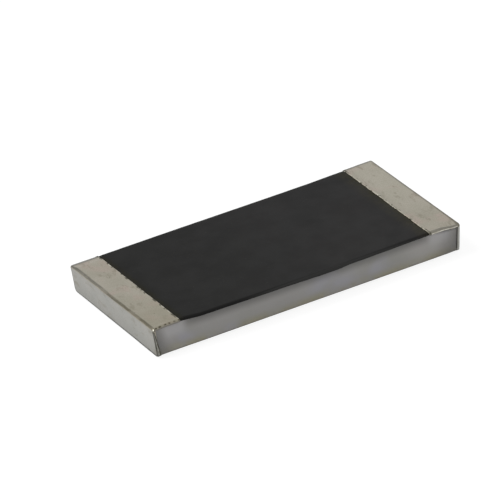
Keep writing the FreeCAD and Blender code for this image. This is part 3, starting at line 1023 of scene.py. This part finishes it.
# painted shade towards the metal at the ends
rim_place = sums(tree, "MULTIPLY_ADD", height, RIM_SLOPE, RIM_AT_BASE)
metal_way = sums(tree, "SUBTRACT", from_middle, rim_place)
metal_way = sums(tree, "MULTIPLY", metal_way, sums(tree, "MULTIPLY_ADD", right_end, -0.45, 1.0))
shade_reach = sums(tree, "MULTIPLY_ADD", height, 0.28, -0.36)
shade_near_metal = between(tree, sums(tree, "SUBTRACT", metal_way, shade_reach), 0.0, 0.30, 0.0, 0.60)
# painted shadow under the right cap's top rim
shadow_under_rim = product(
    tree, between(tree, height, 0.46, 0.53), between(tree, from_middle, 2.56, 2.90, 0.0, 0.7), right_end,
)
body = layered(tree, tint(150, 148, 146), [
    (between(tree, clouds(tree, space, 0.9, 2.0), 0.3, 0.7), tint(144, 143, 138)),
    (between(tree, x_way, 1.7, 2.4, 0.0, 0.7), tint(162, 159, 156)),
    (between(tree, clouds(tree, space, 1.6, 1.0), 0.50, 0.70, 0.0, 0.8), tint(152, 151, 158)),
    (yellowed, tint(147, 143, 124)),
    (shade_under_coat, tint(92, 91, 89)),
    # painted shade along the lower edge
    (between(tree, height, 0.048, 0.075, 0.75, 0.0), tint(66, 63, 50)),
    (by_cap, tint(170, 168, 168)),
    (shade_near_metal, tint(84, 83, 80)),
    (shadow_under_rim, tint(70, 69, 67)),
])
fracture = clouds(tree, space, 14.0, 5.0, 0.6)
surfaced(tree, shader, body, between(tree, fracture, 0.3, 0.7, 0.44, 0.58), fracture, 0.003)
shader.inputs["Subsurface Weight"].default_value = 0.25
shader.inputs["Subsurface Radius"].default_value = (1.0, 0.95, 0.85)
shader.inputs["Subsurface Scale"].default_value = 0.08 * MM
print("ceramic:", len(tree.nodes), "nodes")

# %% [markdown]
# ## The layers that don't show
# Under the coat and the tin lie the printed and plated layers. Each gets its own finish,
# because a part in a library may be opened up: cermet is nearly black, fired silver is
# milky, nickel is slightly yellow. Each has two colours, mixed by clouds of its own scale.

# %% Finishes for the hidden layers
LAYERS = {
    "glass_overglaze": ((96, 112, 98), (74, 92, 80), 0.18, 0.0, 4.0),
    "resistor_cermet": ((46, 45, 44), (66, 64, 60), 0.62, 0.0, 22.0),
    "silver_conductor": ((196, 194, 188), (168, 165, 156), 0.48, 0.9, 16.0),
    "edge_conductor": ((128, 127, 126), (104, 103, 102), 0.40, 0.9, 12.0),
    "nickel": ((172, 166, 152), (150, 144, 130), 0.34, 1.0, 10.0),
}
layer_finish = {}
for name, (light, dark, roughness, metallic, scale) in LAYERS.items():
    material, tree, shader, space = new_finish(name, roughness, metallic)
    cloud = clouds(tree, space, scale, 4.0)
    mixed = blended(tree, between(tree, cloud, 0.3, 0.7), tint(*light), tint(*dark))
    gloss = between(tree, cloud, 0.2, 0.8, roughness - 0.06, roughness + 0.06)
    surfaced(tree, shader, mixed, gloss, cloud, 0.0015)
    layer_finish[name] = material
print("hidden layers:", len(layer_finish), "finishes")

# %% [markdown]
# The left and right nodes of a pair share a finish. The CAD nodes get theirs too, also
# where a finer piece stands for them.

# %% Give every piece and node its finish
NODE_FINISH = {
    "ceramic_substrate": alumina,
    "protective_coat": black,
    "tin_plating": tin,
    "glass_coat": layer_finish["glass_overglaze"],
    "resistive_film": layer_finish["resistor_cermet"],
    "top_electrode": layer_finish["silver_conductor"],
    "bottom_electrode": layer_finish["silver_conductor"],
    "edge_film": layer_finish["edge_conductor"],
    "nickel_barrier": layer_finish["nickel"],
}
for name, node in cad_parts.items():
    kind = name.removesuffix("_left").removesuffix("_right")
    node.data.materials.clear()
    node.data.materials.append(NODE_FINISH[kind])
for piece, material in ((cap_left, tin), (cap_right, tin), (coat, black), (ceramic, alumina)):
    piece.data.materials.append(material)
for piece, slot in covered:
    piece.data.materials.append(layer_finish[slot])
print(len(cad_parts), "nodes have a finish")

# %% [markdown]
# ## Floor and light
# The photograph shows the chip on plain white. A pale floor keeps its soft shadow, and for
# rays that go to the camera, or that bounce off metal, it is mostly a plain white, so the
# background needs no extra light on the chip. One broad lamp behind and to the left leaves
# the long side in shade, as in the photograph, and the world fills the rest.

# %% Lay the floor
FLOOR_RADIUS = 0.6
FLOOR_LEVEL = -0.002 * MM  # just under the solder pads
FLOOR_GLOW = 1.12
GLOW_SHARE = 0.78
WHITE = (1.0, 1.0, 1.0, 1.0)

floor_shape = bmesh.new()
bmesh.ops.create_circle(floor_shape, cap_ends=True, segments=64, radius=FLOOR_RADIUS)
bmesh.ops.translate(floor_shape, vec=(0, 0, FLOOR_LEVEL), verts=floor_shape.verts)
floor_mesh = bpy.data.meshes.new("floor")
floor_shape.to_mesh(floor_mesh)
floor_shape.free()
floor = bpy.data.objects.new("floor", floor_mesh)
bpy.context.scene.collection.objects.link(floor)


def seen_ray(tree):
    """1 for rays from the camera, off metal or through glass, and 0 for the rest."""
    paths = add(tree, "ShaderNodeLightPath").outputs
    either = sums(tree, "MAXIMUM", paths["Is Camera Ray"], paths["Is Glossy Ray"])
    return sums(tree, "MAXIMUM", either, paths["Is Transmission Ray"])


paper = bpy.data.materials.new("paper_floor")
paper.use_nodes = True
tree = paper.node_tree
tree.nodes.clear()
diffuse = add(tree, "ShaderNodeBsdfDiffuse", {"Color": (0.86, 0.86, 0.86, 1.0)})
white = add(tree, "ShaderNodeEmission", {"Color": WHITE, "Strength": FLOOR_GLOW})
share = sums(tree, "MULTIPLY", seen_ray(tree), GLOW_SHARE)
mixed = add(tree, "ShaderNodeMixShader", {0: share, 1: diffuse.outputs[0], 2: white.outputs[0]})
add(tree, "ShaderNodeOutputMaterial", {"Surface": mixed.outputs[0]})
floor.data.materials.append(paper)
print("floor:", len(tree.nodes), "nodes")

# %% Light the chip
FILL = 0.55


def lamp(name, place, size, power):
    """A square soft lamp that looks at the chip, out of the cameras' sight."""
    data = bpy.data.lights.new(name, "AREA")
    data.shape = "SQUARE"
    data.size = size
    data.energy = power
    made = bpy.data.objects.new(name, data)
    made.location = place
    made.rotation_mode = "QUATERNION"
    made.rotation_quaternion = (-Vector(place)).to_track_quat("-Z", "Y")
    made.visible_camera = False
    bpy.context.scene.collection.objects.link(made)
    print(name, "lamp at", place, "m,", power, "W")


world = bpy.data.worlds.new("studio")
bpy.context.scene.world = world
world.use_nodes = True
tree = world.node_tree
tree.nodes.clear()
fill = add(tree, "ShaderNodeBackground", {"Color": WHITE, "Strength": FILL})
shown = add(tree, "ShaderNodeBackground", {"Color": WHITE, "Strength": 1.0})
mixed = add(tree, "ShaderNodeMixShader", {0: seen_ray(tree), 1: fill.outputs[0], 2: shown.outputs[0]})
add(tree, "ShaderNodeOutputWorld", {"Surface": mixed.outputs[0]})
lamp("key", (-0.22, 0.14, 0.30), 0.20, 0.95)
bpy.context.scene.view_settings.view_transform = "Standard"
